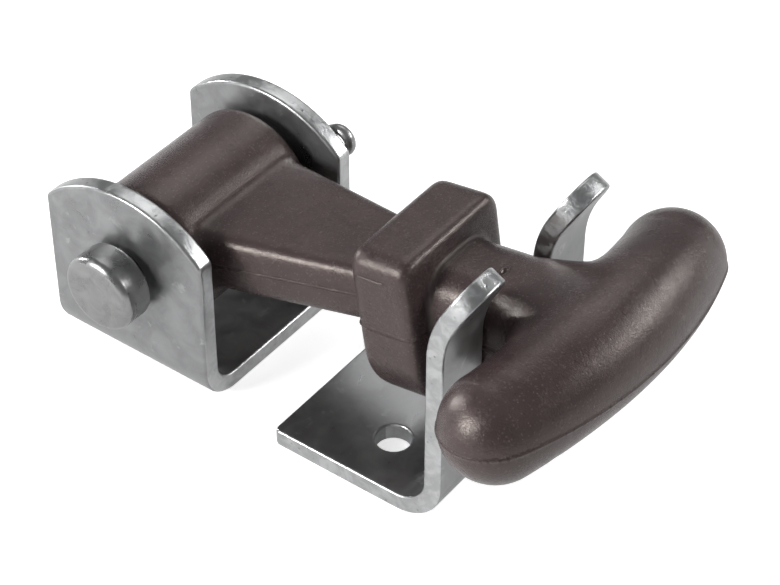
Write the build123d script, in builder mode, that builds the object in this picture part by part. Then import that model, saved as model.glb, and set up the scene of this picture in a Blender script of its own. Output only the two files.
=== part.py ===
from build123d import *
from math import cos, radians, sin
import os

# Rubber case draw latch, closed: a U bracket carries a rubber T-handle arm on a
# clevis pin, and the arm's neck lies in the fork of a hooked keeper.
# Millimetres. Origin on the U bracket's underside, below the pin axis.
# X runs along the latch to the T-handle, Y across it, Z up.

# Steel sheet, used for both brackets, and the holes for their screws
sheet = 3.0
screw_hole_diameter = 5.5

# U bracket
ear_width = 30.5
bracket_width = 36.4
ear_corner_height = 27.6
ear_top_height = 34.2
ear_corner_radius = 1.5
bracket_bend_radius = 3.7
bracket_hole_spacing = 14.0

# Clevis pin
pin_height = 19.6
pin_diameter = 8.0
pin_head_diameter = 12.8
pin_head_thickness = 5.6
pin_head_chamfer = 0.7
pin_end_chamfer = 0.8
pin_end_play = 1.3
pin_end_length = 2.6
running_clearance = 0.05

# Split pin through the clevis pin's end, its eye leaning towards the handle
split_pin_radius = 1.15
split_pin_slack = 0.1
split_pin_lean = 57.0
split_pin_eye_start = 8.0
split_pin_eye_length = 6.0
split_pin_eye_radius = 1.7
split_pin_leg_reach = 9.0
split_pin_leg_spread = 3.6
split_pin_facets = 8
split_pin_leg_bend_radius = 1.5
split_pin_neck_bend_radius = 1.0

# Keeper with its two horns
keeper_start = 28.0
keeper_length = 30.7
keeper_width = 36.0
keeper_bend_radius = 5.1
keeper_corner_radius = 1.0
keeper_hole_spacing = 17.4
keeper_hole_from_edge = 15.6
horn_start_height = 32.2
horn_radius = 18.0
horn_lean = 28.0
horn_top = 46.8
horn_inner_radius = 4.5
horn_outer_radius = 4.6
throat_width = 16.3

# Rubber arm: the moulding's parting plane runs through the pin axis and rises
arm_rise = 8.7
barrel_diameter = 23.4
barrel_length = 27.2
barrel_end_chamfer = 1.1
web_root_distance = 5.0
web_root_width = 26.6
web_root_top = 6.9
web_tip_width = 13.0
web_tip_top = 5.7
web_underside = 3.7
web_edge_radius = 2.8
block_start = 39.4
block_thickness = 10.4
block_width = 23.4
block_top = 12.6
block_bottom = 16.2
block_corner_radius = 3.0
block_edge_radius = 1.6
neck_width = 14.8
neck_height = 17.4
neck_corner_radius = 7.0
neck_seat_gap = 0.5
flare_start = 59.8
flare_radius = 8.4
flare_swing = 75.0
flare_end_height = 14.8
flare_roundness = 0.85
flare_sections = 5
handle_distance = 75.0
handle_rise = 1.6
handle_radius = 8.7
handle_end_distance = 71.2
handle_end_rise = 0.6
handle_end_radius = 8.0
handle_length = 59.0

# Places that follow from the sizes above
ear_inner = bracket_width / 2 - sheet
ear_outer = bracket_width / 2
pin_hole_radius = pin_diameter / 2 + running_clearance
upright_outer = keeper_start + keeper_length
upright_middle = upright_outer - sheet / 2
rise_sin = sin(radians(arm_rise))
rise_cos = cos(radians(arm_rise))
parting = Plane(origin=(0, 0, pin_height), x_dir=(rise_cos, 0, rise_sin), z_dir=(-rise_sin, 0, rise_cos))


def square_to_arm(distance):
    """The plane square to the arm at this distance from the pin: its x is Y and its y points up."""
    origin = parting.from_local_coords((distance, 0, 0))
    return Plane(origin=origin, x_dir=(0, 1, 0), z_dir=(rise_cos, 0, rise_sin))


# U bracket: a folded strip, its ears arched on top, with the pin and screw holes
with BuildPart() as anchor_bracket:
    with BuildSketch(Plane.YZ.offset(-ear_width / 2)):
        with BuildLine():
            FilletPolyline(
                (-ear_outer + sheet / 2, ear_top_height),
                (-ear_outer + sheet / 2, sheet / 2),
                (ear_outer - sheet / 2, sheet / 2),
                (ear_outer - sheet / 2, ear_top_height),
                radius=bracket_bend_radius + sheet / 2,
            )
        trace(line_width=sheet)
    extrude(amount=ear_width)
    with BuildSketch(Plane.XZ.offset(-bracket_width)) as ear_outline:
        with BuildLine():
            Polyline(
                (-ear_width / 2, ear_corner_height),
                (-ear_width / 2, -sheet),
                (ear_width / 2, -sheet),
                (ear_width / 2, ear_corner_height),
            )
            ThreePointArc(
                (ear_width / 2, ear_corner_height),
                (0, ear_top_height),
                (-ear_width / 2, ear_corner_height),
            )
        make_face()
        fillet(ear_outline.vertices().group_by(Axis.Y)[-1], ear_corner_radius)
    extrude(amount=2 * bracket_width, mode=Mode.INTERSECT)
    with BuildSketch(Plane.XZ.offset(-bracket_width)):
        with Locations((0, pin_height)):
            Circle(pin_hole_radius)
    extrude(amount=2 * bracket_width, mode=Mode.SUBTRACT)
    with BuildSketch(Plane.XY):
        with GridLocations(0, bracket_hole_spacing, 1, 2):
            Circle(screw_hole_diameter / 2)
    extrude(amount=sheet, mode=Mode.SUBTRACT)

# Clevis pin: its head stands off the near ear by the end play
cross_hole_radius = split_pin_radius + split_pin_slack
cross_hole_y = ear_outer + running_clearance + cross_hole_radius
shank_start = -ear_outer - pin_end_play
pin_end = cross_hole_y + cross_hole_radius + pin_end_length
head_radius = pin_head_diameter / 2
pin_radius = pin_diameter / 2
split_pin_plane = Plane(
    origin=(0, cross_hole_y, pin_height),
    x_dir=(sin(radians(split_pin_lean)), 0, cos(radians(split_pin_lean))),
    z_dir=(0, -1, 0),
)
with BuildPart() as pivot_pin:
    with BuildSketch(Plane.YZ):
        with BuildLine():
            Polyline(
                (shank_start - pin_head_thickness, pin_height),
                (shank_start - pin_head_thickness, pin_height + head_radius - pin_head_chamfer),
                (shank_start - pin_head_thickness + pin_head_chamfer, pin_height + head_radius),
                (shank_start, pin_height + head_radius),
                (shank_start, pin_height + pin_radius),
                (pin_end - pin_end_chamfer, pin_height + pin_radius),
                (pin_end, pin_height + pin_radius - pin_end_chamfer),
                (pin_end, pin_height),
                close=True,
            )
        make_face()
    revolve(axis=Axis((0, 0, pin_height), (0, 1, 0)))
    with BuildSketch(Plane(origin=split_pin_plane.origin, z_dir=split_pin_plane.x_dir)):
        Circle(cross_hole_radius)
    extrude(amount=pin_diameter, both=True, mode=Mode.SUBTRACT)

# Split pin: one half-round wire, doubled back into an eye, its two legs spread
leg_gap = split_pin_slack / 2
eye_end = split_pin_eye_start + split_pin_eye_length
leg_bend = pin_radius + split_pin_radius
half_wire = split_pin_radius - split_pin_slack
half_bends = [split_pin_leg_bend_radius, split_pin_neck_bend_radius, split_pin_neck_bend_radius]
end_bend = split_pin_eye_radius - leg_gap / 2
with BuildPart() as split_pin:
    with BuildLine(split_pin_plane) as split_pin_path:
        FilletPolyline(
            (-split_pin_leg_reach, split_pin_leg_spread),
            (-leg_bend, leg_gap),
            (split_pin_eye_start - split_pin_eye_radius, leg_gap),
            (split_pin_eye_start, split_pin_eye_radius),
            (eye_end, split_pin_eye_radius),
            (eye_end, -split_pin_eye_radius),
            (split_pin_eye_start, -split_pin_eye_radius),
            (split_pin_eye_start - split_pin_eye_radius, -leg_gap),
            (-leg_bend, -leg_gap),
            (-split_pin_leg_reach, -split_pin_leg_spread),
            radius=half_bends + [end_bend, end_bend] + half_bends[::-1],
        )
    leg_end = Plane(origin=split_pin_path.line @ 0, z_dir=split_pin_path.line % 0, x_dir=(0, 1, 0))
    with BuildSketch(leg_end):
        RegularPolygon(half_wire, split_pin_facets, rotation=180 / split_pin_facets)
        Rectangle(2 * half_wire, half_wire, align=(Align.CENTER, Align.MAX), mode=Mode.SUBTRACT)
    sweep()

# Keeper: the base, the bend, the upright and the horns are one folded sheet
lean_sin = sin(radians(horn_lean))
lean_cos = cos(radians(horn_lean))
horn_bend_x = upright_middle + horn_radius * (1 - lean_cos)
horn_bend_z = horn_start_height + horn_radius * lean_sin
horn_end_z = horn_top - sheet / 2 * lean_sin
horn_end_x = horn_bend_x + (horn_end_z - horn_bend_z) * lean_sin / lean_cos
neck_base_distance = (upright_middle - neck_height / 2 * rise_sin) / rise_cos
neck_underside = pin_height + neck_base_distance * rise_sin - neck_height / 2 * rise_cos
throat_radius = throat_width / 2
throat_centre = neck_underside - neck_seat_gap + throat_radius
with BuildPart() as keeper_bracket:
    with BuildSketch(Plane.XZ.offset(-keeper_width / 2)):
        with BuildLine():
            fold = FilletPolyline(
                (keeper_start, sheet / 2),
                (upright_middle, sheet / 2),
                (upright_middle, horn_start_height),
                radius=keeper_bend_radius + sheet / 2,
            )
            JernArc(fold @ 1, (0, 1), horn_radius, -horn_lean)
            Line((horn_bend_x, horn_bend_z), (horn_end_x, horn_end_z))
        trace(line_width=sheet)
    extrude(amount=keeper_width)
    with BuildSketch(Plane.YZ.offset(upright_outer - 2 * sheet)):
        with Locations((0, throat_centre)):
            Circle(throat_radius)
            Rectangle(throat_width, horn_top, align=(Align.CENTER, Align.MIN))
    extrude(amount=keeper_length, mode=Mode.SUBTRACT)
    with BuildSketch(Plane.XY):
        with Locations((keeper_start + keeper_hole_from_edge, 0)):
            with GridLocations(0, keeper_hole_spacing, 1, 2):
                Circle(screw_hole_diameter / 2)
    extrude(amount=sheet, mode=Mode.SUBTRACT)
    fillet(keeper_bracket.edges().filter_by(Axis.Z).group_by(Axis.X)[0], keeper_corner_radius)
    through_horn = Axis((0, 0, 0), (lean_cos, 0, -lean_sin))
    horn_corners = keeper_bracket.edges().filter_by(through_horn).sort_by(Axis.Y)
    fillet(horn_corners[1:3], horn_inner_radius)
    fillet([horn_corners[0], horn_corners[3]], horn_outer_radius)

# Rubber arm: barrel, tapering web, stop block, neck and T-handle in one moulding
block_middle = block_start + block_thickness / 2
handle_bow = handle_length / 2 - handle_end_radius
handle_ends = [
    parting.from_local_coords((handle_end_distance, -handle_bow, handle_end_rise)),
    parting.from_local_coords((handle_end_distance, handle_bow, handle_end_rise)),
]
handle_middle = parting.from_local_coords((handle_distance, 0, handle_rise))
with BuildPart() as pull_arm:
    with BuildSketch(Plane.XZ.offset(-barrel_length / 2)):
        with Locations((0, pin_height)):
            Circle(barrel_diameter / 2)
    extrude(amount=barrel_length)
    chamfer(pull_arm.edges().filter_by(GeomType.CIRCLE), barrel_end_chamfer)
    with BuildSketch(square_to_arm(block_start)) as shield:
        with Locations((0, block_top)):
            shield_height = block_top + block_bottom - block_width / 2
            Rectangle(block_width, shield_height, align=(Align.CENTER, Align.MAX))
        fillet(shield.vertices().group_by(Axis.Y)[-1], block_corner_radius)
        with Locations((0, block_width / 2 - block_bottom)):
            Circle(block_width / 2)
    extrude(amount=block_thickness)
    fillet(pull_arm.faces().filter_by(square_to_arm(0)).edges(), block_edge_radius)
    with BuildSketch(square_to_arm(web_root_distance)):
        with Locations((0, (web_root_top - web_underside) / 2)):
            RectangleRounded(web_root_width, web_root_top + web_underside, web_edge_radius)
    with BuildSketch(square_to_arm(block_middle)):
        with Locations((0, (web_tip_top - web_underside) / 2)):
            RectangleRounded(web_tip_width, web_tip_top + web_underside, web_edge_radius)
    loft(ruled=True)
    with BuildSketch(square_to_arm(block_middle)):
        RectangleRounded(neck_width, neck_height, neck_corner_radius)
    extrude(amount=handle_distance - block_middle)
    for step in range(flare_sections + 1):
        swing = radians(flare_swing * step / flare_sections)
        half_width = neck_width / 2 + flare_radius * (1 - cos(swing))
        height = neck_height + (flare_end_height - neck_height) * (step / flare_sections) ** 2
        with BuildSketch(square_to_arm(flare_start + flare_radius * sin(swing))):
            RectangleRounded(2 * half_width, height, flare_roundness * min(height / 2, half_width))
    loft()
    with BuildLine() as handle_path:
        ThreePointArc(handle_ends[0], handle_middle, handle_ends[1])
    for place, radius in ((0, handle_end_radius), (0.5, handle_radius), (1, handle_end_radius)):
        with BuildSketch(Plane(origin=handle_path.line @ place, z_dir=handle_path.line % place)):
            Circle(radius)
    sweep(multisection=True)
    with Locations(*handle_ends):
        Sphere(handle_end_radius)
    with BuildSketch(Plane.XZ.offset(-barrel_length)):
        with Locations((0, pin_height)):
            Circle(pin_hole_radius)
    extrude(amount=2 * barrel_length, mode=Mode.SUBTRACT)

os.makedirs("parts", exist_ok=True)
anchor_bracket.part.label = "anchor_bracket"
export_step(anchor_bracket.part, "parts/anchor_bracket.step")
pivot_pin.part.label = "pivot_pin"
export_step(pivot_pin.part, "parts/pivot_pin.step")
split_pin.part.label = "split_pin"
export_step(split_pin.part, "parts/split_pin.step")
keeper_bracket.part.label = "keeper_bracket"
export_step(keeper_bracket.part, "parts/keeper_bracket.step")
pull_arm.part.label = "pull_arm"
export_step(pull_arm.part, "parts/pull_arm.step")
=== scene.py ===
# %% [markdown]
# A rubber draw latch, closed. Two folded steel brackets are screwed to a case and its lid. A moulded
# rubber arm turns on a clevis pin in the first bracket, and its neck is stretched into the fork of the
# second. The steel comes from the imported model, whose sizes are kept. This lesson gives the sheets their
# rolled and sheared edges, models the rubber as one moulding, and paints each finish with nodes.

from math import atan, cos, pi, radians, sin

import bmesh
import bpy
from mathutils import Matrix, Vector


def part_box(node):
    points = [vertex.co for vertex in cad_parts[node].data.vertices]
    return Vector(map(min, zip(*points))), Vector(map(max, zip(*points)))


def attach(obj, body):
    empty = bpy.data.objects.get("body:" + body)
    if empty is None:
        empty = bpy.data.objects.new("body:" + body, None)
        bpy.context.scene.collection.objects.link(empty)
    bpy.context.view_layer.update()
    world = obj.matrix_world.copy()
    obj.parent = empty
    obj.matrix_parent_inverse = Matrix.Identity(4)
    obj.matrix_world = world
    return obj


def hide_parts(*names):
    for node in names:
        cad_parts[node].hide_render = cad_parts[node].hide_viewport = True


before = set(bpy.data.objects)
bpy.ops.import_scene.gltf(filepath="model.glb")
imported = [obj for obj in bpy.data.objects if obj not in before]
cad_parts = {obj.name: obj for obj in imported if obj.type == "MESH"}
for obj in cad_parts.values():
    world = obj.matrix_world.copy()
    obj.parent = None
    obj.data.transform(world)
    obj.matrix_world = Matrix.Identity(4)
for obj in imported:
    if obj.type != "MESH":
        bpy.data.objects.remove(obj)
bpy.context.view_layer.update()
mm = 0.001

# %% [markdown]
# The camera stands where the photograph was taken from. Its angles, distance and lens were worked out
# from the brackets' square corners, so every piece falls on its own outline in the picture. The picture
# is 780 pixels wide, and a lens in pixels becomes millimetres on a 36 mm sensor.

# %% Camera
picture_width = 780
sensor_width = 36.0
lens_pixels = 2361.0
view_azimuth = radians(36.43)
view_elevation = radians(40.89)
view_roll = radians(0.23)
towards_camera = Vector((
    sin(view_azimuth) * cos(view_elevation),
    -cos(view_azimuth) * cos(view_elevation),
    sin(view_elevation),
))
level_right = Vector((cos(view_azimuth), sin(view_azimuth), 0))
level_up = towards_camera.cross(level_right)
view_right = level_right * cos(view_roll) + level_up * sin(view_roll)
view_up = level_up * cos(view_roll) - level_right * sin(view_roll)
camera_right, camera_up, camera_away = 29.30, 2.38, 381.05
camera_place = (view_right * camera_right + view_up * camera_up + towards_camera * camera_away) * mm

camera_data = bpy.data.cameras.new("photo_camera")
camera_data.sensor_width = sensor_width
camera_data.lens = lens_pixels * sensor_width / picture_width
camera_data.clip_start = 0.01
camera = bpy.data.objects.new("photo_camera", camera_data)
facing = Matrix((view_right, view_up, towards_camera)).transposed().to_4x4()
camera.matrix_world = Matrix.Translation(camera_place) @ facing
bpy.context.scene.collection.objects.link(camera)
bpy.context.scene.camera = camera
bpy.context.scene.view_settings.view_transform = "Standard"
print("lens %.1f mm, camera %.0f mm away" % (camera_data.lens, camera_place.length / mm))

# %% [markdown]
# Four soft boxes light the latch. The two highlights on the handle's round end say where two of them
# stood: in front on the left, and low on the left. A long narrow one behind on the right draws the streak
# along the handle, and a broad one above and behind lights the tops of the steel. A lamp's size sets how
# soft a highlight is, and its bearing sets where the highlight falls.

# %% Lights
latch_middle = Vector((40, 0, 20)) * mm


def soft_box(name, azimuth, elevation, distance, width, height, watts):
    """A rectangular lamp at this bearing from the latch, facing its middle."""
    data = bpy.data.lights.new(name, "AREA")
    data.shape = "RECTANGLE"
    data.size = width
    data.size_y = height
    data.energy = watts
    lamp = bpy.data.objects.new(name, data)
    bearing = Vector((
        cos(radians(elevation)) * cos(radians(azimuth)),
        cos(radians(elevation)) * sin(radians(azimuth)),
        sin(radians(elevation)),
    ))
    lamp.location = latch_middle + bearing * distance
    lamp.rotation_euler = bearing.to_track_quat("Z", "Y").to_euler()
    bpy.context.scene.collection.objects.link(lamp)
    return lamp


soft_box("front_left_box", -117, 23, 0.75, 0.22, 0.20, 4.8)
soft_box("low_left_box", -172, 16, 0.80, 0.06, 0.08, 2.4)
soft_box("back_right_box", 44, 29, 0.80, 0.60, 0.04, 3.5)
soft_box("top_box", 122, 53, 0.90, 0.50, 0.40, 1.2)

# %% [markdown]
# The world stands for the studio's walls. Bare metal shows little else than what surrounds it, so it
# needs an even grey to mirror, a little darker overhead. Only the camera itself sees the world as white.

# %% World
room_strength = 0.45
world = bpy.data.worlds.new("studio")
bpy.context.scene.world = world
world.use_nodes = True
sky = world.node_tree
sky.nodes.clear()
sky_out = sky.nodes.new("ShaderNodeOutputWorld")
sky_mix = sky.nodes.new("ShaderNodeMixShader")
room_light = sky.nodes.new("ShaderNodeBackground")
backdrop = sky.nodes.new("ShaderNodeBackground")
ray_kind = sky.nodes.new("ShaderNodeLightPath")
room_place = sky.nodes.new("ShaderNodeTexCoord")
room_height = sky.nodes.new("ShaderNodeSeparateXYZ")
room_ramp = sky.nodes.new("ShaderNodeValToRGB")
room_ramp.color_ramp.elements[0].position = 0.05
room_ramp.color_ramp.elements[0].color = (0.56, 0.565, 0.57, 1)
room_ramp.color_ramp.elements[1].position = 0.85
room_ramp.color_ramp.elements[1].color = (0.50, 0.505, 0.51, 1)
backdrop.inputs["Color"].default_value = (1, 1, 1, 1)
backdrop.inputs["Strength"].default_value = 1.0
room_light.inputs["Strength"].default_value = room_strength
sky.links.new(room_place.outputs["Generated"], room_height.inputs["Vector"])
sky.links.new(room_height.outputs["Z"], room_ramp.inputs["Fac"])
sky.links.new(room_ramp.outputs["Color"], room_light.inputs["Color"])
sky.links.new(ray_kind.outputs["Is Camera Ray"], sky_mix.inputs["Fac"])
sky.links.new(room_light.outputs["Background"], sky_mix.inputs[1])
sky.links.new(backdrop.outputs["Background"], sky_mix.inputs[2])
sky.links.new(sky_mix.outputs["Shader"], sky_out.inputs["Surface"])
print("world", world.name, "at strength", room_strength)

# %% [markdown]
# The floor is a plain pale sheet at the mounting surface. Its paint is white, and it glows a little for
# the camera and in reflections, so that it reads as the clean white ground of a catalogue picture and
# still keeps the latch's soft shadow.

# %% Floor
floor_half = 3.0
floor_white, floor_brightness, mirrored_share = 0.84, 0.66, 0.27
floor_mesh = bpy.data.meshes.new("floor")
floor_bm = bmesh.new()
bmesh.ops.create_grid(floor_bm, x_segments=1, y_segments=1, size=floor_half)
floor_bm.to_mesh(floor_mesh)
floor_bm.free()
floor = bpy.data.objects.new("floor", floor_mesh)
bpy.context.scene.collection.objects.link(floor)
floor_paint = bpy.data.materials.new("floor_white")
floor_paint.use_nodes = True
floor_tree = floor_paint.node_tree
floor_tree.nodes.clear()
floor_out = floor_tree.nodes.new("ShaderNodeOutputMaterial")
floor_sum = floor_tree.nodes.new("ShaderNodeAddShader")
floor_matt = floor_tree.nodes.new("ShaderNodeBsdfDiffuse")
floor_matt.inputs["Color"].default_value = (floor_white, floor_white, floor_white, 1)
floor_glow = floor_tree.nodes.new("ShaderNodeEmission")
floor_rays = floor_tree.nodes.new("ShaderNodeLightPath")
floor_mirrored = floor_tree.nodes.new("ShaderNodeMath")
floor_mirrored.operation = "MULTIPLY"
floor_mirrored.inputs[1].default_value = mirrored_share
floor_seen = floor_tree.nodes.new("ShaderNodeMath")
floor_seen.operation = "MAXIMUM"
floor_level = floor_tree.nodes.new("ShaderNodeMath")
floor_level.operation = "MULTIPLY"
floor_level.inputs[1].default_value = floor_brightness
floor_tree.links.new(floor_rays.outputs["Is Camera Ray"], floor_seen.inputs[0])
floor_tree.links.new(floor_rays.outputs["Is Glossy Ray"], floor_mirrored.inputs[0])
floor_tree.links.new(floor_mirrored.outputs["Value"], floor_seen.inputs[1])
floor_tree.links.new(floor_seen.outputs["Value"], floor_level.inputs[0])
floor_tree.links.new(floor_level.outputs["Value"], floor_glow.inputs["Strength"])
floor_tree.links.new(floor_matt.outputs["BSDF"], floor_sum.inputs[0])
floor_tree.links.new(floor_glow.outputs["Emission"], floor_sum.inputs[1])
floor_tree.links.new(floor_sum.outputs["Shader"], floor_out.inputs["Surface"])
floor.data.materials.append(floor_paint)
print("floor", floor_half * 2, "m wide in", floor_paint.name)

# %% [markdown]
# Steel and rubber share three effects: a cloud of slow tone changes, fine specks, and a mask of the
# exposed edges. They could be built again in each material. As node groups with named inputs they are
# built once and placed in every material with its own values.


# %% Node helpers
def new_group(name, inputs, outputs):
    """A shader node group with float inputs (name: default) and outputs (name: socket type)."""
    tree = bpy.data.node_groups.new(name, "ShaderNodeTree")
    for label, value in inputs.items():
        socket = tree.interface.new_socket(name=label, in_out="INPUT", socket_type="NodeSocketFloat")
        socket.default_value = value
    for label, kind in outputs.items():
        tree.interface.new_socket(name=label, in_out="OUTPUT", socket_type=kind)
    return tree, tree.nodes.new("NodeGroupInput"), tree.nodes.new("NodeGroupOutput")


def add(tree, kind, **values):
    """A node of this kind, with its settings and its unlinked sockets filled in."""
    node = tree.nodes.new(kind)
    for name, value in values.items():
        if hasattr(node, name):
            setattr(node, name, value)
        else:
            node.inputs[name.replace("_", " ")].default_value = value
    return node


# %% [markdown]
# No real surface has one tone. The cloud is a noise stretched between two levels, so that a material can
# ask for a broad haze or a fine mottle by its scale.

# %% Cloud: slow changes of tone
cloud, cloud_in, cloud_out = new_group(
    "cloud", {"Scale": 60.0, "Detail": 6.0, "Low": 0.35, "High": 0.65}, {"Value": "NodeSocketFloat"}
)
cloud_place = cloud.nodes.new("ShaderNodeTexCoord")
cloud_noise = add(cloud, "ShaderNodeTexNoise", Roughness=0.62, Distortion=0.6)
cloud_range = add(cloud, "ShaderNodeMapRange", interpolation_type="SMOOTHSTEP")
cloud.links.new(cloud_place.outputs["Object"], cloud_noise.inputs["Vector"])
cloud.links.new(cloud_in.outputs["Scale"], cloud_noise.inputs["Scale"])
cloud.links.new(cloud_in.outputs["Detail"], cloud_noise.inputs["Detail"])
cloud.links.new(cloud_noise.outputs["Fac"], cloud_range.inputs["Value"])
cloud.links.new(cloud_in.outputs["Low"], cloud_range.inputs["From Min"])
cloud.links.new(cloud_in.outputs["High"], cloud_range.inputs["From Max"])
cloud.links.new(cloud_range.outputs["Result"], cloud_out.inputs["Value"])
print("effect", cloud.name, "of", len(cloud.nodes), "nodes")

# %% [markdown]
# Dust, pits and crystals are small round spots, each alone. A cell texture gives one spot to every cell,
# and the cell's own random tone decides whether its spot is kept.

# %% Specks: dust, pits and crystals
specks, specks_in, specks_out = new_group(
    "specks", {"Scale": 1500.0, "Size": 0.25, "Share": 0.5}, {"Value": "NodeSocketFloat"}
)
specks_place = specks.nodes.new("ShaderNodeTexCoord")
specks_cells = add(specks, "ShaderNodeTexVoronoi", feature="F1")
specks_pick = add(specks, "ShaderNodeMath", operation="LESS_THAN")
specks_dot = add(specks, "ShaderNodeMapRange", To_Min=1.0, To_Max=0.0, interpolation_type="SMOOTHSTEP")
specks_both = add(specks, "ShaderNodeMath", operation="MULTIPLY")
specks_grey = specks.nodes.new("ShaderNodeRGBToBW")
specks.links.new(specks_place.outputs["Object"], specks_cells.inputs["Vector"])
specks.links.new(specks_in.outputs["Scale"], specks_cells.inputs["Scale"])
specks.links.new(specks_cells.outputs["Color"], specks_grey.inputs["Color"])
specks.links.new(specks_grey.outputs["Val"], specks_pick.inputs[0])
specks.links.new(specks_in.outputs["Share"], specks_pick.inputs[1])
specks.links.new(specks_cells.outputs["Distance"], specks_dot.inputs["Value"])
specks.links.new(specks_in.outputs["Size"], specks_dot.inputs["From Max"])
specks.links.new(specks_dot.outputs["Result"], specks_both.inputs[0])
specks.links.new(specks_pick.outputs["Value"], specks_both.inputs[1])
specks.links.new(specks_both.outputs["Value"], specks_out.inputs["Value"])
print("effect", specks.name, "of", len(specks.nodes), "nodes")

# %% [markdown]
# Corners that stand out turn pale: on the rubber partly as rubbed wear and partly as painted highlight,
# on the pins as painted highlight. The hollows are painted darker, as painted shade. Pointiness finds both
# where a mesh is fine, and a noise breaks the edge mask up, because wear is never even. It is left off the
# brackets: their flat faces are so large that the mask would be drawn across them.

# %% Edge wear, painted highlight and painted shade
wear_sheen_shade_group, masks_in, masks_out = new_group(
    "edge_wear_sheen_and_shade", {"Low": 0.52, "High": 0.60, "Break Up": 0.5, "Scale": 700.0},
    {"Mask": "NodeSocketFloat", "Shaded Hollow": "NodeSocketFloat"},
)
masks_shape = wear_sheen_shade_group.nodes.new("ShaderNodeNewGeometry")
masks_place = wear_sheen_shade_group.nodes.new("ShaderNodeTexCoord")
masks_noise = add(wear_sheen_shade_group, "ShaderNodeTexNoise", Detail=3.0)
masks_range = add(wear_sheen_shade_group, "ShaderNodeMapRange", interpolation_type="SMOOTHSTEP")
masks_break = add(wear_sheen_shade_group, "ShaderNodeMapRange", From_Min=0.35, From_Max=0.65)
masks_keep = add(wear_sheen_shade_group, "ShaderNodeMath", operation="SUBTRACT")
masks_keep.inputs[0].default_value = 1.0
wear_and_sheen_mask = add(wear_sheen_shade_group, "ShaderNodeMath", operation="MULTIPLY")
# The hollow mask marks concave places for painted shade.
hollow_shade_range = add(
    wear_sheen_shade_group, "ShaderNodeMapRange", From_Min=0.495, From_Max=0.47, interpolation_type="SMOOTHSTEP",
)
wear_sheen_shade_group.links.new(masks_place.outputs["Object"], masks_noise.inputs["Vector"])
wear_sheen_shade_group.links.new(masks_in.outputs["Scale"], masks_noise.inputs["Scale"])
wear_sheen_shade_group.links.new(masks_shape.outputs["Pointiness"], masks_range.inputs["Value"])
wear_sheen_shade_group.links.new(masks_in.outputs["Low"], masks_range.inputs["From Min"])
wear_sheen_shade_group.links.new(masks_in.outputs["High"], masks_range.inputs["From Max"])
wear_sheen_shade_group.links.new(masks_noise.outputs["Fac"], masks_break.inputs["Value"])
wear_sheen_shade_group.links.new(masks_in.outputs["Break Up"], masks_keep.inputs[1])
wear_sheen_shade_group.links.new(masks_keep.outputs["Value"], masks_break.inputs["To Min"])
wear_sheen_shade_group.links.new(masks_range.outputs["Result"], wear_and_sheen_mask.inputs[0])
wear_sheen_shade_group.links.new(masks_break.outputs["Result"], wear_and_sheen_mask.inputs[1])
wear_sheen_shade_group.links.new(wear_and_sheen_mask.outputs["Value"], masks_out.inputs["Mask"])
wear_sheen_shade_group.links.new(masks_shape.outputs["Pointiness"], hollow_shade_range.inputs["Value"])
wear_sheen_shade_group.links.new(hollow_shade_range.outputs["Result"], masks_out.inputs["Shaded Hollow"])
print("shared effects", [g.name for g in bpy.data.node_groups])


# %% [markdown]
# A finish is a stack of such effects: each mixes its own colour over the last, changes the roughness or
# raises the surface a little. Five short helpers keep that stack readable.

# %% Building a finish
def effect(tree, group, **values):
    """One of the shared effects, with this material's own values."""
    node = tree.nodes.new("ShaderNodeGroup")
    node.node_tree = group
    for name, value in values.items():
        node.inputs[name.replace("_", " ")].default_value = value
    return node


def tint(tree, factor, below, above):
    """Mixes two colours, or two colour sockets, by a mask."""
    node = tree.nodes.new("ShaderNodeMix")
    node.data_type = "RGBA"
    tree.links.new(factor, node.inputs["Factor"])
    for socket, value in ((node.inputs[6], below), (node.inputs[7], above)):
        if isinstance(value, tuple):
            socket.default_value = value + (1,)
        else:
            tree.links.new(value, socket)
    return node.outputs[2]


def spread(tree, value, low, high):
    """Spreads a mask from 0 to 1 over low to high."""
    node = add(tree, "ShaderNodeMapRange", To_Min=low, To_Max=high)
    tree.links.new(value, node.inputs["Value"])
    return node.outputs["Result"]


def bump(tree, height, depth, below=None):
    """Raises a mask by a depth in metres, over an earlier bump if one is given."""
    node = add(tree, "ShaderNodeBump", Strength=1.0, Distance=depth)
    tree.links.new(height, node.inputs["Height"])
    if below:
        tree.links.new(below, node.inputs["Normal"])
    return node.outputs["Normal"]


def finish_material(name):
    """A new material with an empty tree, and its surface shader."""
    material = bpy.data.materials.new(name)
    material.use_nodes = True
    tree = material.node_tree
    tree.nodes.clear()
    output = tree.nodes.new("ShaderNodeOutputMaterial")
    shader = tree.nodes.new("ShaderNodeBsdfPrincipled")
    tree.links.new(shader.outputs["BSDF"], output.inputs["Surface"])
    return material, tree, shader


# %% [markdown]
# Zinc plate is bright but not a mirror. Rolling leaves the sheet faintly clouded, the plating adds a fine
# crystal grain, pits hold dirt and small scuffs show pale. The same cloud changes tone and roughness
# together, so it breaks up the reflection on a plain face, as on the keeper's foot. The clear film over
# the zinc scatters a little light, so the finish isn't quite all metal.

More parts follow.
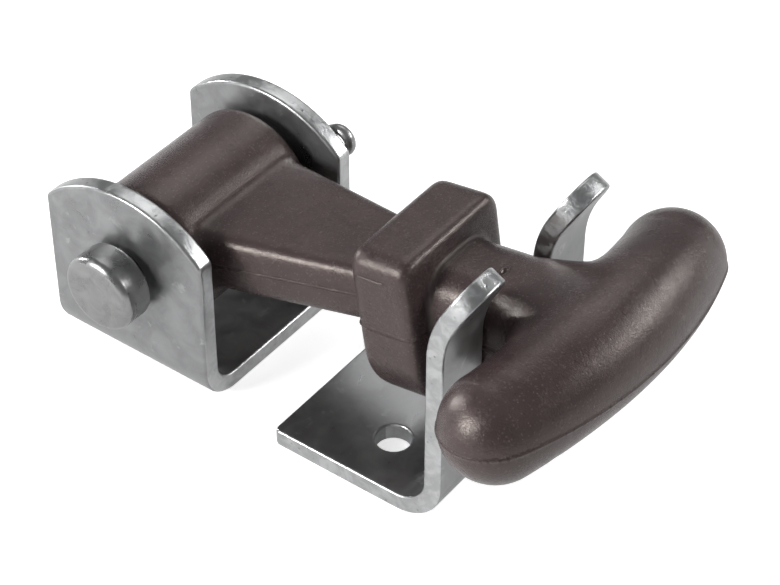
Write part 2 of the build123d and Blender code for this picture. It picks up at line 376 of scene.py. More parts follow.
# %% Zinc plate on the rolled faces
zinc_face, tree, shader = finish_material("zinc_rolled_face")
shader.inputs["Metallic"].default_value = 0.86
mottle = effect(tree, cloud, Scale=230.0, Detail=8.0, Low=0.30, High=0.72)
drift = effect(tree, cloud, Scale=42.0, Detail=4.0, Low=0.30, High=0.70)
crystals = effect(tree, specks, Scale=2600.0, Size=0.55, Share=0.45)
pits = effect(tree, specks, Scale=700.0, Size=0.14, Share=0.08)
tone = tint(tree, mottle.outputs["Value"], (0.29, 0.292, 0.295), (0.395, 0.398, 0.401))
tone = tint(tree, spread(tree, drift.outputs["Value"], 0.0, 0.35), tone, (0.27, 0.272, 0.275))
tone = tint(tree, spread(tree, pits.outputs["Value"], 0.0, 0.55), tone, (0.22, 0.22, 0.22))
scuffs = effect(tree, cloud, Scale=330.0, Detail=10.0, Low=0.60, High=0.70)
tone = tint(tree, spread(tree, scuffs.outputs["Value"], 0.0, 0.4), tone, (0.62, 0.62, 0.62))
tree.links.new(tone, shader.inputs["Base Color"])
gloss = add(tree, "ShaderNodeMath", operation="ADD")
tree.links.new(spread(tree, mottle.outputs["Value"], 0.27, 0.40), gloss.inputs[0])
tree.links.new(spread(tree, crystals.outputs["Value"], 0.0, 0.05), gloss.inputs[1])
tree.links.new(gloss.outputs["Value"], shader.inputs["Roughness"])
grain = bump(tree, crystals.outputs["Value"], 0.0000015)
grain = bump(tree, mottle.outputs["Value"], 0.000006, grain)
grain = bump(tree, spread(tree, pits.outputs["Value"], 1.0, 0.0), 0.00001, grain)
tree.links.new(grain, shader.inputs["Normal"])
print("finish", zinc_face.name, "of", len(tree.nodes), "nodes")

# %% [markdown]
# A sheared edge is cut halfway and torn the rest. It is paler than the rolled face, rougher in patches,
# and dented, so it gets a stronger bump and no crystal grain.

# %% Sheared edges of the plate
zinc_cut, tree, shader = finish_material("zinc_sheared_edge")
shader.inputs["Metallic"].default_value = 1.0
torn = effect(tree, cloud, Scale=420.0, Detail=7.0, Low=0.40, High=0.64)
dents = effect(tree, specks, Scale=1100.0, Size=0.36, Share=0.20)
tone = tint(tree, torn.outputs["Value"], (0.46, 0.464, 0.467), (0.60, 0.604, 0.607))
tone = tint(tree, spread(tree, dents.outputs["Value"], 0.0, 0.7), tone, (0.16, 0.16, 0.16))
tree.links.new(tone, shader.inputs["Base Color"])
tree.links.new(spread(tree, torn.outputs["Value"], 0.28, 0.46), shader.inputs["Roughness"])
grain = bump(tree, torn.outputs["Value"], 0.000022)
grain = bump(tree, spread(tree, dents.outputs["Value"], 1.0, 0.0), 0.00003, grain)
tree.links.new(grain, shader.inputs["Normal"])
print("finish", zinc_cut.name, "of", len(tree.nodes), "nodes")

# %% [markdown]
# The pins are plain steel: a haze from turning, small nicks, and a painted highlight that brightens the
# rim of the head and the other edges.

# %% Turned steel of the pins
turned_steel, tree, shader = finish_material("turned_steel")
shader.inputs["Metallic"].default_value = 1.0
haze = effect(tree, cloud, Scale=320.0, Detail=6.0, Low=0.35, High=0.68)
nicks = effect(tree, specks, Scale=1200.0, Size=0.2, Share=0.18)
tone = tint(tree, haze.outputs["Value"], (0.30, 0.30, 0.30), (0.37, 0.37, 0.367))
tone = tint(tree, spread(tree, nicks.outputs["Value"], 0.0, 0.5), tone, (0.25, 0.25, 0.25))
wear_sheen_shade = effect(tree, wear_sheen_shade_group, Low=0.53, High=0.62, Break_Up=0.4, Scale=900.0)
# Painted highlight: the edge mask paints the rims and edges of the pins bright.
tone = tint(tree, spread(tree, wear_sheen_shade.outputs["Mask"], 0.0, 0.6), tone, (0.58, 0.58, 0.58))
tree.links.new(tone, shader.inputs["Base Color"])
tree.links.new(spread(tree, haze.outputs["Value"], 0.26, 0.40), shader.inputs["Roughness"])
grain = bump(tree, haze.outputs["Value"], 0.000008)
grain = bump(tree, spread(tree, nicks.outputs["Value"], 1.0, 0.0), 0.00002, grain)
tree.links.new(grain, shader.inputs["Normal"])
print("finish", turned_steel.name, "of", len(tree.nodes), "nodes")

# %% [markdown]
# The rubber is a dark brown compound with a satin skin. The mould leaves a fine grain that breaks
# highlights into sparkles, talc and dust settle on it as pale specks, and the edges turn greyer, partly as
# rubbed wear and partly as painted highlight. The hollows are painted darker, as painted shade, and duller.

# %% Moulded rubber
rubber, tree, shader = finish_material("moulded_rubber")
bloom = effect(tree, cloud, Scale=110.0, Detail=6.0, Low=0.30, High=0.72)
stain = effect(tree, cloud, Scale=70.0, Detail=8.0, Low=0.38, High=0.58)
skin = effect(tree, cloud, Scale=3600.0, Detail=4.0, Low=0.30, High=0.70)
talc = effect(tree, specks, Scale=2200.0, Size=0.50, Share=0.45)
dust = effect(tree, specks, Scale=1300.0, Size=0.20, Share=0.30)
pores = effect(tree, specks, Scale=1900.0, Size=0.40, Share=0.30)
wear_sheen_shade = effect(tree, wear_sheen_shade_group, Low=0.52, High=0.62, Break_Up=0.5, Scale=600.0)
tone = tint(tree, bloom.outputs["Value"], (0.046, 0.030, 0.031), (0.066, 0.045, 0.046))
tone = tint(tree, spread(tree, stain.outputs["Value"], 0.35, 0.0), tone, (0.036, 0.023, 0.025))
tone = tint(tree, spread(tree, skin.outputs["Value"], 0.0, 0.25), tone, (0.044, 0.030, 0.031))
tone = tint(tree, spread(tree, talc.outputs["Value"], 0.0, 0.38), tone, (0.17, 0.135, 0.13))
tone = tint(tree, spread(tree, dust.outputs["Value"], 0.0, 0.35), tone, (0.30, 0.25, 0.24))
tone = tint(tree, spread(tree, pores.outputs["Value"], 0.0, 0.55), tone, (0.020, 0.012, 0.013))
# Pale edges: partly rubbed wear, partly painted highlight.
tone = tint(tree, spread(tree, wear_sheen_shade.outputs["Mask"], 0.0, 0.55), tone, (0.15, 0.115, 0.11))
# Painted shade: the hollows are painted darker.
tone = tint(tree, spread(tree, wear_sheen_shade.outputs["Shaded Hollow"], 0.0, 0.7), tone, (0.018, 0.011, 0.012))
tree.links.new(tone, shader.inputs["Base Color"])
gloss = add(tree, "ShaderNodeMath", operation="ADD")
tree.links.new(spread(tree, bloom.outputs["Value"], 0.18, 0.25), gloss.inputs[0])
tree.links.new(spread(tree, stain.outputs["Value"], 0.08, 0.0), gloss.inputs[1])
dull = add(tree, "ShaderNodeMath", operation="ADD")
tree.links.new(gloss.outputs["Value"], dull.inputs[0])
tree.links.new(spread(tree, wear_sheen_shade.outputs["Shaded Hollow"], 0.0, 0.25), dull.inputs[1])
tree.links.new(dull.outputs["Value"], shader.inputs["Roughness"])
shader.inputs["Specular IOR Level"].default_value = 0.6
shader.inputs["Specular Tint"].default_value = (1.0, 0.90, 0.82, 1)
grain = bump(tree, skin.outputs["Value"], 0.000017)
grain = bump(tree, spread(tree, pores.outputs["Value"], 1.0, 0.0), 0.000018, grain)
grain = bump(tree, bloom.outputs["Value"], 0.000025, grain)
tree.links.new(grain, shader.inputs["Normal"])
print("materials", [m.name for m in bpy.data.materials])


# %% [markdown]
# The brackets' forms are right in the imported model: one folded sheet each. What it lacks is what a press
# leaves, a rolled arris on one side and a torn band on the sheared edge. So a copy of each node is merged
# back into whole faces and its edges are bevelled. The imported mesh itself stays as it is.


# %% Finishing a folded sheet
def dressed_copy(node, name, arris):
    """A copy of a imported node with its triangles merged, its sharp edges bevelled, and smooth shading."""
    bm = bmesh.new()
    bm.from_mesh(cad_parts[node].data)
    bmesh.ops.remove_doubles(bm, verts=bm.verts, dist=0.001 * mm)
    bmesh.ops.dissolve_limit(bm, angle_limit=radians(0.5), verts=bm.verts, edges=bm.edges)
    sharp = [e for e in bm.edges if len(e.link_faces) == 2 and e.calc_face_angle() > radians(40)]
    bmesh.ops.bevel(
        bm, geom=sharp, offset=arris, offset_type="OFFSET", segments=3, profile=0.5,
        affect="EDGES", clamp_overlap=False, material=-1,
    )
    bmesh.ops.remove_doubles(bm, verts=bm.verts, dist=0.002 * mm)
    bmesh.ops.recalc_face_normals(bm, faces=bm.faces)
    for face in bm.faces:
        face.smooth = True
    mesh = bpy.data.meshes.new(name)
    bm.to_mesh(mesh)
    bm.free()
    piece = bpy.data.objects.new(name, mesh)
    bpy.context.scene.collection.objects.link(piece)
    return piece


def plated(piece, is_cut):
    """Zinc plate on every face, and the sheared finish on those that is_cut picks by centre and normal."""
    piece.data.materials.append(zinc_face)
    piece.data.materials.append(zinc_cut)
    count = 0
    for face in piece.data.polygons:
        if is_cut(face.center / mm, face.normal):
            face.material_index = 1
            count += 1
    return count


def weighted(piece):
    """Keeps flat faces flat under smooth shading."""
    modifier = piece.modifiers.new("weighted_normals", "WEIGHTED_NORMAL")
    modifier.keep_sharp = True


# %% [markdown]
# The U bracket is a strip with two arched ears, folded up on a brake. The shears cut it across and round
# the ears, so a sheared face is one that looks along the latch, or up or down above the folds.

# %% U bracket
ear_arris = 0.55 * mm
above_folds = 6.0
u_bracket = dressed_copy("anchor_bracket", "u_bracket", ear_arris)
cut_faces = plated(
    u_bracket,
    lambda c, n: abs(n.y) < 0.5 and (abs(n.x) > 0.6 or (c.z > above_folds and abs(n.z) > 0.3)),
)
weighted(u_bracket)
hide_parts("anchor_bracket")
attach(u_bracket, "brackets")
print("U bracket", len(u_bracket.data.polygons), "faces,", cut_faces, "sheared")

# %% [markdown]
# The keeper is a strip folded up once, with a slot for the neck. The two horns beside the slot are bent
# outward so that the arm slides over them. Its sheared faces look across the latch, or end the strip at
# foot and tips.

# %% Keeper
keeper_arris = 0.42 * mm
keeper_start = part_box("keeper_bracket")[0].x / mm
horn_tips = 44.0
keeper = dressed_copy("keeper_bracket", "keeper", keeper_arris)
cut_faces = plated(
    keeper,
    lambda c, n: abs(n.y) > 0.5 or (n.x < -0.6 and c.x < keeper_start + 1) or (c.z > horn_tips and n.z > 0.7),
)
weighted(keeper)
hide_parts("keeper_bracket")
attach(keeper, "brackets")
print("keeper", len(keeper.data.polygons), "faces,", cut_faces, "sheared")

# %% [markdown]
# The clevis pin is turned bar with an upset head. A profile of half its section, from the middle of the
# head's face to the tip, is spun about the axis. The head's face is slightly domed and its rim is broken
# by a small rounded chamfer, which is the bright ring round the face. A spin from a profile is closed and
# evenly meshed, and the profile can be read off the picture.

# %% Profile of the clevis pin
pin_low, pin_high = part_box("pivot_pin")
head_face = pin_low.y / mm
head_end = head_face + 5.6
tip = pin_high.y / mm
head_radius, shank_radius = 6.4, 4.0
outline = [
    (0.0, head_face + 0.02),
    (2.0, head_face + 0.05),
    (3.8, head_face + 0.14),
    (5.0, head_face + 0.24),
    (5.45, head_face + 0.31),
    (5.8, head_face + 0.48),
    (6.1, head_face + 0.75),
    (6.32, head_face + 1.10),
    (head_radius, head_face + 1.50),
    (head_radius, head_end - 0.55),
    (6.32, head_end - 0.25),
    (6.1, head_end - 0.05),
    (5.85, head_end),
    (shank_radius + 0.05, head_end),
    (shank_radius, head_end + 0.1),
    (shank_radius, tip - 0.8),
    (shank_radius - 0.25, tip - 0.35),
    (shank_radius - 0.8, tip),
    (0.0, tip),
]
print("pin profile of", len(outline), "points from %.1f to %.1f mm" % (head_face, tip))

# %% [markdown]
# One operator turns the profile into a skin, a full spin. Its first and last rings are merged, and the
# normals are recalculated, because a spin can turn a skin inside out. A second helper makes the bmesh an
# object. Both are used again further down.

# %% Clevis pin
def turned(bm, profile, steps, closed):
    """Turns a profile of (radius, y) points in millimetres about the Y axis into a skin."""
    points = [bm.verts.new(Vector((radius, y, 0)) * mm) for radius, y in profile]
    pairs = list(zip(points, points[1:])) + ([(points[-1], points[0])] if closed else [])
    lines = [bm.edges.new(pair) for pair in pairs]
    bmesh.ops.spin(
        bm, geom=points + lines, cent=(0, 0, 0), axis=(0, 1, 0), dvec=(0, 0, 0), angle=radians(360),
        steps=steps, use_merge=True,
    )
    bmesh.ops.remove_doubles(bm, verts=bm.verts, dist=0.001 * mm)
    bmesh.ops.recalc_face_normals(bm, faces=bm.faces)


def finished(bm, name, material):
    """Makes the bmesh a smooth shaded object in the scene with this material."""
    for face in bm.faces:
        face.smooth = True
    mesh = bpy.data.meshes.new(name)
    bm.to_mesh(mesh)
    bm.free()
    piece = bpy.data.objects.new(name, mesh)
    bpy.context.scene.collection.objects.link(piece)
    piece.data.materials.append(material)
    return piece


pin_height = 19.6
pin_bm = bmesh.new()
turned(pin_bm, outline, 96, closed=False)
bmesh.ops.translate(pin_bm, verts=pin_bm.verts, vec=(0, 0, pin_height * mm))
clevis_pin = finished(pin_bm, "clevis_pin", turned_steel)
weighted(clevis_pin)
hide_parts("pivot_pin")
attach(clevis_pin, "pin")
print("clevis pin", len(clevis_pin.data.polygons), "faces")

# %% [markdown]
# The split pin is half-round wire doubled back into an eye, with its flat sides together. Its section is
# half of a disc, cut from a circle. The disc closes the wire's start, and only its outline is drawn on,
# so the inside of the wire stays free of walls.

# %% Section of the split pin
wire, leg_spread, leg_reach = 1.05, 3.3, 9.0
cotter_bm = bmesh.new()
bmesh.ops.create_circle(cotter_bm, cap_ends=True, segments=24, radius=wire * mm)
bmesh.ops.bisect_plane(
    cotter_bm, geom=cotter_bm.verts[:] + cotter_bm.edges[:] + cotter_bm.faces[:],
    dist=0.001 * mm, plane_co=(0, 0, 0), plane_no=(-1, 0, 0), clear_outer=True,
)
bmesh.ops.translate(cotter_bm, verts=cotter_bm.verts, vec=Vector((leg_spread, 0, -leg_reach)) * mm)
wire_end = cotter_bm.edges[:]
print("wire section of", len(wire_end), "edges")

# %% [markdown]
# The wire runs up the first leg, round the eye and down the second leg. A curve with a bevel profile
# could follow that line too. Drawing the outline on in short steps puts every ring at a named place, so
# the flat sides end a set gap apart. The eye is a half turn, and the second leg repeats the first leg's
# steps in reverse.

# %% Legs and eye
def extrude_to(bm, ring, x, z):
    """Extrudes the wire's open end by millimetres sideways and along."""
    new = bmesh.ops.extrude_edge_only(bm, edges=ring)["geom"]
    bmesh.ops.translate(
        bm, verts=[g for g in new if isinstance(g, bmesh.types.BMVert)], vec=Vector((x, 0, z)) * mm,
    )
    return [g for g in new if isinstance(g, bmesh.types.BMEdge)]


leg_gap, leg_bend = 0.05, 5.2
eye_radius, eye_start, eye_end = 1.75, 8.0, 14.6
rise = [
    (leg_gap - leg_spread, leg_reach - leg_bend),
    (0, leg_bend + eye_start - 2.2),
    (0.35, 0.7),
    (1.0, 1.1),
    (eye_radius - leg_gap - 1.35, 0.7),
    (0, eye_end - eye_start - 0.3),
]
for x, z in rise:
    wire_end = extrude_to(cotter_bm, wire_end, x, z)
ring_verts = list(set(v for e in wire_end for v in e.verts))
turned_eye = bmesh.ops.spin(
    cotter_bm, geom=ring_verts + wire_end, cent=(0, 0, eye_end * mm), axis=(0, -1, 0), dvec=(0, 0, 0),
    angle=radians(180), steps=16, use_merge=False,
)["geom_last"]
wire_end = [g for g in turned_eye if isinstance(g, bmesh.types.BMEdge)]
for x, z in reversed(rise):
    wire_end = extrude_to(cotter_bm, wire_end, x, -z)
bmesh.ops.holes_fill(cotter_bm, edges=wire_end, sides=0)
open_edges = [e for e in cotter_bm.edges if len(e.link_faces) != 2]
print("split pin open edges", len(open_edges))

# %% [markdown]
# The picture shows the rounded tip of the eye above the far ear, and that gives the lean. The split pin
# is turned about its hole in the mesh, so its object stays unturned.

# %% Place the split pin
split_pin_lean = radians(57)
cross_hole_y = 19.5
bmesh.ops.recalc_face_normals(cotter_bm, faces=cotter_bm.faces)
bmesh.ops.transform(
    cotter_bm, verts=cotter_bm.verts,
    matrix=Matrix.Translation(Vector((0, cross_hole_y, pin_height)) * mm)
    @ Matrix.Rotation(split_pin_lean, 4, "Y"),
)
cotter = finished(cotter_bm, "cotter", turned_steel)
weighted(cotter)
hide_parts("split_pin")
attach(cotter, "pin")
print("split pin", len(cotter.data.polygons), "faces")

# %% [markdown]
# The arm is one rubber moulding, and its forms run into each other. It is built from simple closed forms
# in the arm's own frame, where x runs along it from the pin, y across it and z square to its parting
# plane. A voxel remesh joins them into one skin, and smoothing rounds every inside corner as a mould
# does.

# %% The arm's own frame
arm_rise = radians(8.7)
arm_frame = Matrix.Translation(Vector((0, 0, pin_height)) * mm) @ Matrix.Rotation(-arm_rise, 4, "Y")


def shift(bm, verts, x=0.0, y=0.0, z=0.0):
    """Moves vertices by millimetres."""
    bmesh.ops.translate(bm, verts=verts, vec=Vector((x, y, z)) * mm)


def rounded_box(bm, low, high, edges_along=None, radius=0.0, segments=6):
    """A box between two corners in millimetres, with the edges along one axis rounded."""
    made = bmesh.ops.create_cube(bm, size=1.0)["verts"]
    size = Vector(high) - Vector(low)
    middle = (Vector(high) + Vector(low)) / 2
    bmesh.ops.scale(bm, verts=made, vec=size * mm)
    bmesh.ops.translate(bm, verts=made, vec=middle * mm)
    if edges_along is not None:
        edges = set(e for v in made for e in v.link_edges)
        along = [e for e in edges if abs((e.verts[0].co - e.verts[1].co).normalized()[edges_along]) > 0.9]
        done = bmesh.ops.bevel(
            bm, geom=along, offset=radius * mm, offset_type="OFFSET", segments=segments, profile=0.5,
            affect="EDGES", clamp_overlap=True, material=-1,
        )
        made = list(set(v for v in made if v.is_valid) | set(done["verts"]))
    return made


# %% [markdown]
# The barrel is a short tube round the pin, turned from its wall's section. The web that leaves it is a
# flat bar that tapers to half its width, so it starts as a rounded box and its far end is drawn in.

# %% Barrel and web
barrel_radius, barrel_length = 11.7, 27.2
bore_radius, barrel_chamfer = 4.05, 1.1
arm_bm = bmesh.new()
wall = [
    (bore_radius, -barrel_length / 2),
    (barrel_radius - barrel_chamfer, -barrel_length / 2),
    (barrel_radius, -barrel_length / 2 + barrel_chamfer),
    (barrel_radius, barrel_length / 2 - barrel_chamfer),
    (barrel_radius - barrel_chamfer, barrel_length / 2),
    (bore_radius, barrel_length / 2),
]
turned(arm_bm, wall, 96, closed=True)

web_root, web_tip = 5.0, 44.6
web_half_root, web_half_tip = 13.3, 6.5
web_bottom, web_top, web_fall = -3.7, 6.9, 1.2
web_corner = 2.8
web = rounded_box(
    arm_bm, (web_root, -web_half_root, web_bottom), (web_tip, web_half_root, web_top),
    edges_along=0, radius=web_corner,
)
for vert in web:
    if vert.co.x > (web_root + web_tip) / 2 * mm:
        vert.co.y *= web_half_tip / web_half_root
        if vert.co.z > 0:
            vert.co.z -= web_fall * mm
print("barrel and web", len(arm_bm.verts), "vertices")

# %% [markdown]
# The stop block bears on the keeper's face and keeps the arm from pulling through the fork. It is square
# above and half round below, so a box and a lying cylinder of the same width are laid over each other.

# %% Stop block
block_start, block_end = 39.4, 49.8
block_half, block_top, block_bottom = 11.7, 12.6, 16.2
upper = rounded_box(
    arm_bm, (block_start, -block_half, block_half - block_bottom), (block_end, block_half, block_top),
)
bmesh.ops.create_cone(
    arm_bm, cap_ends=True, cap_tris=False, segments=96,
    radius1=block_half * mm, radius2=block_half * mm, depth=(block_end - block_start) * mm,
    matrix=Matrix.Translation(Vector(((block_start + block_end) / 2, 0, block_half - block_bottom)) * mm)
    @ Matrix.Rotation(radians(90), 4, "Y"),
)
print("stop block from", block_start, "to", block_end, "mm")

# %% [markdown]
# The block's corners are rounded before the forms join. Only its outer edges are bevelled: the lower
# edges of the box meet the half round, and a bevel there would leave a groove.

# %% Round the block's edges
corner_radius, edge_radius = 3.0, 1.6
top_corners = []
face_edges = []
for edge in set(e for v in upper for e in v.link_edges):
    line = (edge.verts[0].co - edge.verts[1].co).normalized()
    height = (edge.verts[0].co.z + edge.verts[1].co.z) / 2 / mm
    if abs(line.x) > 0.9 and height > 0:
        top_corners.append(edge)
bmesh.ops.bevel(
    arm_bm, geom=top_corners, offset=corner_radius * mm, offset_type="OFFSET", segments=6, profile=0.5,
    affect="EDGES", clamp_overlap=True, material=-1,
)
for edge in arm_bm.edges:
    ends = [v.co / mm for v in edge.verts]
    on_face = all(abs(c.x - block_start) < 0.01 or abs(c.x - block_end) < 0.01 for c in ends)
    level = abs(ends[0].x - ends[1].x) < 0.01
    at_half_round = all(abs(c.z - (block_half - block_bottom)) < 0.01 for c in ends)
    joint_line = at_half_round and abs(ends[0].y - ends[1].y) > block_half
    if on_face and level and not joint_line:
        face_edges.append(edge)
bmesh.ops.bevel(
    arm_bm, geom=face_edges, offset=edge_radius * mm, offset_type="OFFSET", segments=5, profile=0.5,
    affect="EDGES", clamp_overlap=True, material=-1,
)
print("block edges rounded", len(face_edges))

# %% [markdown]
# The neck is the bar that lies in the keeper's fork. Its section starts as a rectangle whose corners are
# rounded, more so below, where it lies in the fork's round throat. The section starts inside the block,
# which hides the join.

# %% Neck section
neck_half, neck_half_height = 7.7, 8.7
neck_top_corner, neck_bottom_corner = 5.4, 7.0
neck_bm = bmesh.new()
bmesh.ops.create_grid(neck_bm, x_segments=1, y_segments=1, size=1.0)
bmesh.ops.scale(neck_bm, verts=neck_bm.verts, vec=(neck_half * mm, neck_half_height * mm, 1))
for above, corner in ((True, neck_top_corner), (False, neck_bottom_corner)):
    corners = [v for v in neck_bm.verts if (v.co.y > 0) == above]
    bmesh.ops.bevel(
        neck_bm, geom=corners, offset=corner * mm, offset_type="OFFSET", segments=9, profile=0.5,
        affect="VERTICES", clamp_overlap=True, material=-1,
    )
stand_up = Matrix(((0, 0, 1, 0), (1, 0, 0, 0), (0, 1, 0, 0), (0, 0, 0, 1)))
bmesh.ops.transform(neck_bm, matrix=stand_up, verts=neck_bm.verts)
shift(neck_bm, neck_bm.verts, x=(block_start + block_end) / 2)
print("neck section of", len(neck_bm.verts), "points")

# %% [markdown]
# From the keeper on, the neck opens into the handle as a trumpet does. Its end ring is extruded step by
# step, each ring wider than the last, on a quarter of a sweep. That keeps the form closed, and each
# ring's width and height can be set for its own place.

# %% Flare
def extrude_ring(bm, face, x, widen, heighten):
    """Extrudes the end face to a new place along the arm, scaled across it. Gives the new end face."""
    new = bmesh.ops.extrude_face_region(bm, geom=[face])["geom"]
    verts = [g for g in new if isinstance(g, bmesh.types.BMVert)]
    end = [g for g in new if isinstance(g, bmesh.types.BMFace)][0]
    bmesh.ops.translate(bm, verts=verts, vec=(x * mm - verts[0].co.x, 0, 0))
    bmesh.ops.scale(bm, verts=verts, vec=(1, widen, heighten))
    return end


flare_start, flare_radius, flare_end_half = 59.8, 8.4, 7.9
end_face = list(neck_bm.faces)[0]
end_face = extrude_ring(neck_bm, end_face, flare_start, 1.0, 1.0)
flare_steps = 10
wide, high = neck_half, neck_half_height
for step in range(1, flare_steps + 1):
    swing = radians(80 * step / flare_steps)
    next_wide = neck_half + flare_radius * (1 - cos(swing))
    next_high = neck_half_height + (flare_end_half - neck_half_height) * (step / flare_steps) ** 2
    end_face = extrude_ring(
        neck_bm, end_face, flare_start + flare_radius * sin(swing), next_wide / wide, next_high / high,
    )
    wide, high = next_wide, next_high
bmesh.ops.recalc_face_normals(neck_bm, faces=neck_bm.faces)
neck_mesh = bpy.data.meshes.new("neck_form")
neck_bm.to_mesh(neck_mesh)
neck_bm.free()
arm_bm.from_mesh(neck_mesh)
print("neck and flare", len(arm_bm.verts), "vertices so far")

# %% [markdown]
# The flare ends inside the handle, and the root of a real one is solid rubber without a dimple. A rounded
# bar through both, wider and higher at its far end, fills that root.

# %% Core of the flare
core_start, core_end, core_half = 60.0, 75.0, 7.4
core_widen, core_rise = 1.5, 1.5
core = rounded_box(
    arm_bm, (core_start, -core_half, -core_half), (core_end, core_half, neck_half_height),
    edges_along=0, radius=5.0, segments=8,
)
for vert in core:
    if vert.co.x > (core_start + core_end) / 2 * mm:
        vert.co.y *= core_widen
        vert.co.z += core_rise * mm if vert.co.z > 0 else 0
print("core", len(core), "vertices")

# %% [markdown]
# The T-handle is a sausage with its ends swept back. It is made straight first: a ball is parted at its
# equator, one half is drawn out in rings, and the result is cut at the middle and mirrored, so that both
# ends are alike.

# %% T-handle
handle_end_radius, handle_bow = 8.0, 20.75
handle_bm = bmesh.new()
bmesh.ops.create_uvsphere(
    handle_bm, u_segments=64, v_segments=32, radius=handle_end_radius * mm,
    matrix=Matrix.Rotation(radians(90), 4, "X"),
)
bmesh.ops.bisect_plane(
    handle_bm, geom=handle_bm.verts[:] + handle_bm.edges[:] + handle_bm.faces[:],
    plane_co=(0, 0, 0), plane_no=(0, 1, 0), clear_outer=True,
)
shift(handle_bm, handle_bm.verts, y=-handle_bow)
rim = [e for e in handle_bm.edges if e.is_boundary]
handle_rings = 44
for step in range(handle_rings):
    new = bmesh.ops.extrude_edge_only(handle_bm, edges=rim)["geom"]
    ring_verts = [g for g in new if isinstance(g, bmesh.types.BMVert)]
    rim = [g for g in new if isinstance(g, bmesh.types.BMEdge)]
    shift(handle_bm, ring_verts, y=2 * handle_bow / handle_rings)
half = handle_bm.verts[:] + handle_bm.edges[:] + handle_bm.faces[:]
bmesh.ops.bisect_plane(handle_bm, geom=half, plane_co=(0, 0, 0), plane_no=(0, 1, 0), clear_outer=True)
bmesh.ops.mirror(
    handle_bm, geom=handle_bm.verts[:] + handle_bm.edges[:] + handle_bm.faces[:],
    matrix=Matrix.Identity(4), merge_dist=0.01 * mm, axis="Y",
)
bmesh.ops.recalc_face_normals(handle_bm, faces=handle_bm.faces)
print("straight handle of", len(handle_bm.verts), "vertices")

# %% [markdown]
# Each point is then moved by the handle's bow: further back and lower the nearer it is to an end. The
# stretched rubber doesn't lie quite square in the fork, so the near end also sits a little further back
# and lower than the far one.

# %% Bow the handle
handle_middle, handle_rise, handle_radius = 74.8, 2.0, 8.65
handle_back, handle_drop = 3.45, 1.7
handle_skew, handle_tilt = 1.25, 0.8
for vert in handle_bm.verts:
    along = max(-handle_bow, min(handle_bow, vert.co.y / mm))
    share = along / handle_bow
    swell = (handle_radius + (handle_end_radius - handle_radius) * share ** 2) / handle_end_radius
    turn = atan((handle_skew - 2 * handle_back * share) / handle_bow)
    offset = Vector((vert.co.x * swell, vert.co.y - along * mm, vert.co.z * swell))
    centre = Vector((
        handle_middle + handle_skew * share - handle_back * share ** 2,
        along,
        handle_rise + handle_tilt * share - handle_drop * share ** 2,
    ))
    vert.co = centre * mm + Matrix.Rotation(-turn, 3, "Z") @ offset
handle_mesh = bpy.data.meshes.new("handle_form")
handle_bm.to_mesh(handle_mesh)
handle_bm.free()
arm_bm.from_mesh(handle_mesh)
print("forms to join", len(arm_bm.faces), "faces")

# %% [markdown]
# Now the forms become one skin. The remesh works on a grid of small cubes and keeps only the outside, and
# the smoothing that follows removes its steps and rounds the joins. The neck and the handle get more of
# it than the block, whose edges stay firm.

# %% Join the forms
forms_mesh = bpy.data.meshes.new("arm_forms")
arm_bm.to_mesh(forms_mesh)
arm_bm.free()
forms = bpy.data.objects.new("arm_forms", forms_mesh)
bpy.context.scene.collection.objects.link(forms)
skin_step = 0.42 * mm
remesh = forms.modifiers.new("one_skin", "REMESH")
remesh.mode = "VOXEL"
remesh.voxel_size = skin_step
bpy.context.view_layer.update()
skinned = bpy.data.meshes.new_from_object(forms.evaluated_get(bpy.context.evaluated_depsgraph_get()))
bpy.data.objects.remove(forms)
print("joined skin", len(skinned.polygons), "faces")

# %% [markdown]
# A mould's inside corners are rounded so that the rubber doesn't tear there. Evening out the vertices
# does the same to the joins, and more rounds make a wider fillet, so the rounds grow from the keeper to
# the handle.

# %% Round the joins
skin_bm = bmesh.new()
skin_bm.from_mesh(skinned)


def smooth(bm, verts, rounds, factor=0.5):
    """Evens out vertices a number of times."""
    for _ in range(rounds):
        bmesh.ops.smooth_vert(
            bm, verts=verts, factor=factor, use_axis_x=True, use_axis_y=True, use_axis_z=True,
        )


even_rounds, root_rounds, bar_rounds = 5, 8, 12
root_start, root_end = 6, 14
bar_start, bar_end = 12, 38
flare_end, flare_half = 78, 19
flare_rounds = {58: 6, 60: 8, 62: 10, 64: 12}
smooth(skin_bm, skin_bm.verts[:], even_rounds)
for start, rounds in flare_rounds.items():
    flare = [
        v for v in skin_bm.verts
        if start * mm < v.co.x < flare_end * mm and abs(v.co.y) < flare_half * mm
    ]
    smooth(skin_bm, flare, rounds)
root = [v for v in skin_bm.verts if root_start * mm < v.co.x < root_end * mm]
smooth(skin_bm, root, root_rounds)
bar = [v for v in skin_bm.verts if bar_start * mm < v.co.x < bar_end * mm]
smooth(skin_bm, bar, bar_rounds)
print("skin smoothed", len(skin_bm.verts), "vertices")

# %% [markdown]
# The two halves of the mould met on the parting plane, and a hair of rubber was pressed between them. The
# skin is cut a little above, on and below that plane, and the middle line is pushed out. On the web the
# two halves met a little higher, and an insert left a short line near the top of the block's near side.


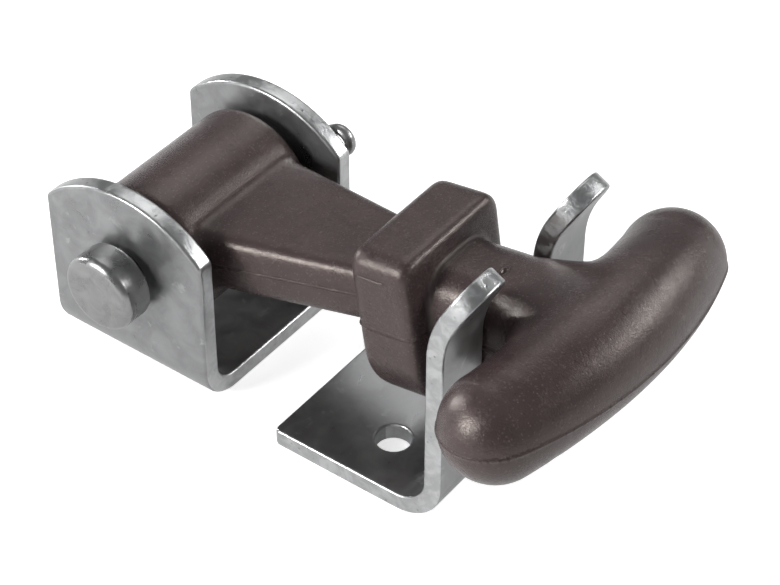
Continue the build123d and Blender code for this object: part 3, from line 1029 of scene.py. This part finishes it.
# %% Parting lines
def raised_line(bm, level, start, end, height, sides):
    """Raises a fine ridge where the plane at this level cuts the skin between two places along the arm."""
    ridge_half, clear_of_bore = 0.22, 9
    for cut in (level - ridge_half, level, level + ridge_half):
        faces = []
        for face in bm.faces:
            middle = face.calc_center_median()
            if start * mm < middle.x < end * mm and abs(middle.z - cut * mm) < 1 * mm:
                faces.append(face)
        edges = list(set(e for f in faces for e in f.edges))
        verts = list(set(v for f in faces for v in f.verts))
        bmesh.ops.bisect_plane(
            bm, geom=verts + edges + faces, dist=0.02 * mm, plane_co=(0, 0, cut * mm), plane_no=(0, 0, 1),
        )
    bm.normal_update()
    crest = [
        (v, v.normal.copy()) for v in bm.verts
        if abs(v.co.z - level * mm) < 0.025 * mm and start * mm < v.co.x < end * mm
        and v.co.xy.length > clear_of_bore * mm and abs(v.normal.z) < 0.9 and (v.co.y > 0) * 2 - 1 in sides
    ]
    for vert, outward in crest:
        vert.co.z = level * mm
        vert.co += outward * height * mm
    return len(crest)


both_sides, near_side = (-1, 1), (-1,)
mould_lines = {
    "block and handle": (0.0, 38.9, 90.0, 0.20, both_sides),
    "barrel": (0.0, -12.0, 12.0, 0.15, both_sides),
    "web": (1.6, 12.5, 38.9, 0.30, both_sides),
    "insert": (9.0, 40.6, 45.6, 0.24, near_side),
}
for name, line in mould_lines.items():
    print("line on the", name, raised_line(skin_bm, *line), "points")

# %% [markdown]
# Pulling the arm over the horns has left a small nick on top of the neck. The skin is cut finer there,
# the middle is pressed in and its rim is raised.

# %% Nick on the neck
nick_place, nick_half_length, nick_half_width = Vector((58.9, -0.9)), 0.80, 0.40
nick_depth, lip_height, lip_reach = 0.38, 0.16, 1.8
neck_upper_half = 5
near_nick = [
    e for e in skin_bm.edges
    if all((v.co.xy / mm - nick_place).length < lip_reach and v.co.z > neck_upper_half * mm for v in e.verts)
]
bmesh.ops.subdivide_edges(skin_bm, edges=near_nick, cuts=3, use_grid_fill=True)
nick_points = 0
for vert in skin_bm.verts:
    offset = vert.co.xy / mm - nick_place
    reach = ((offset.x / nick_half_width) ** 2 + (offset.y / nick_half_length) ** 2) ** 0.5
    if vert.co.z > neck_upper_half * mm and reach < lip_reach:
        if reach < 1:
            vert.co.z -= nick_depth * cos(reach * pi / 2) * mm
        else:
            vert.co.z += lip_height * sin((reach - 1) / (lip_reach - 1) * pi) * mm
        nick_points += 1
print("nick", nick_points, "points")

# %% [markdown]
# Everything so far was made in the arm's own frame. The skin is now lifted to the pin and turned by the
# arm's rise, which lays the neck in the fork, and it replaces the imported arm.

# %% Place the arm
bmesh.ops.transform(skin_bm, matrix=arm_frame, verts=skin_bm.verts)
arm = finished(skin_bm, "rubber_arm", rubber)
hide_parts("pull_arm")
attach(arm, "arm")
print("rubber arm", len(arm.data.polygons), "faces")
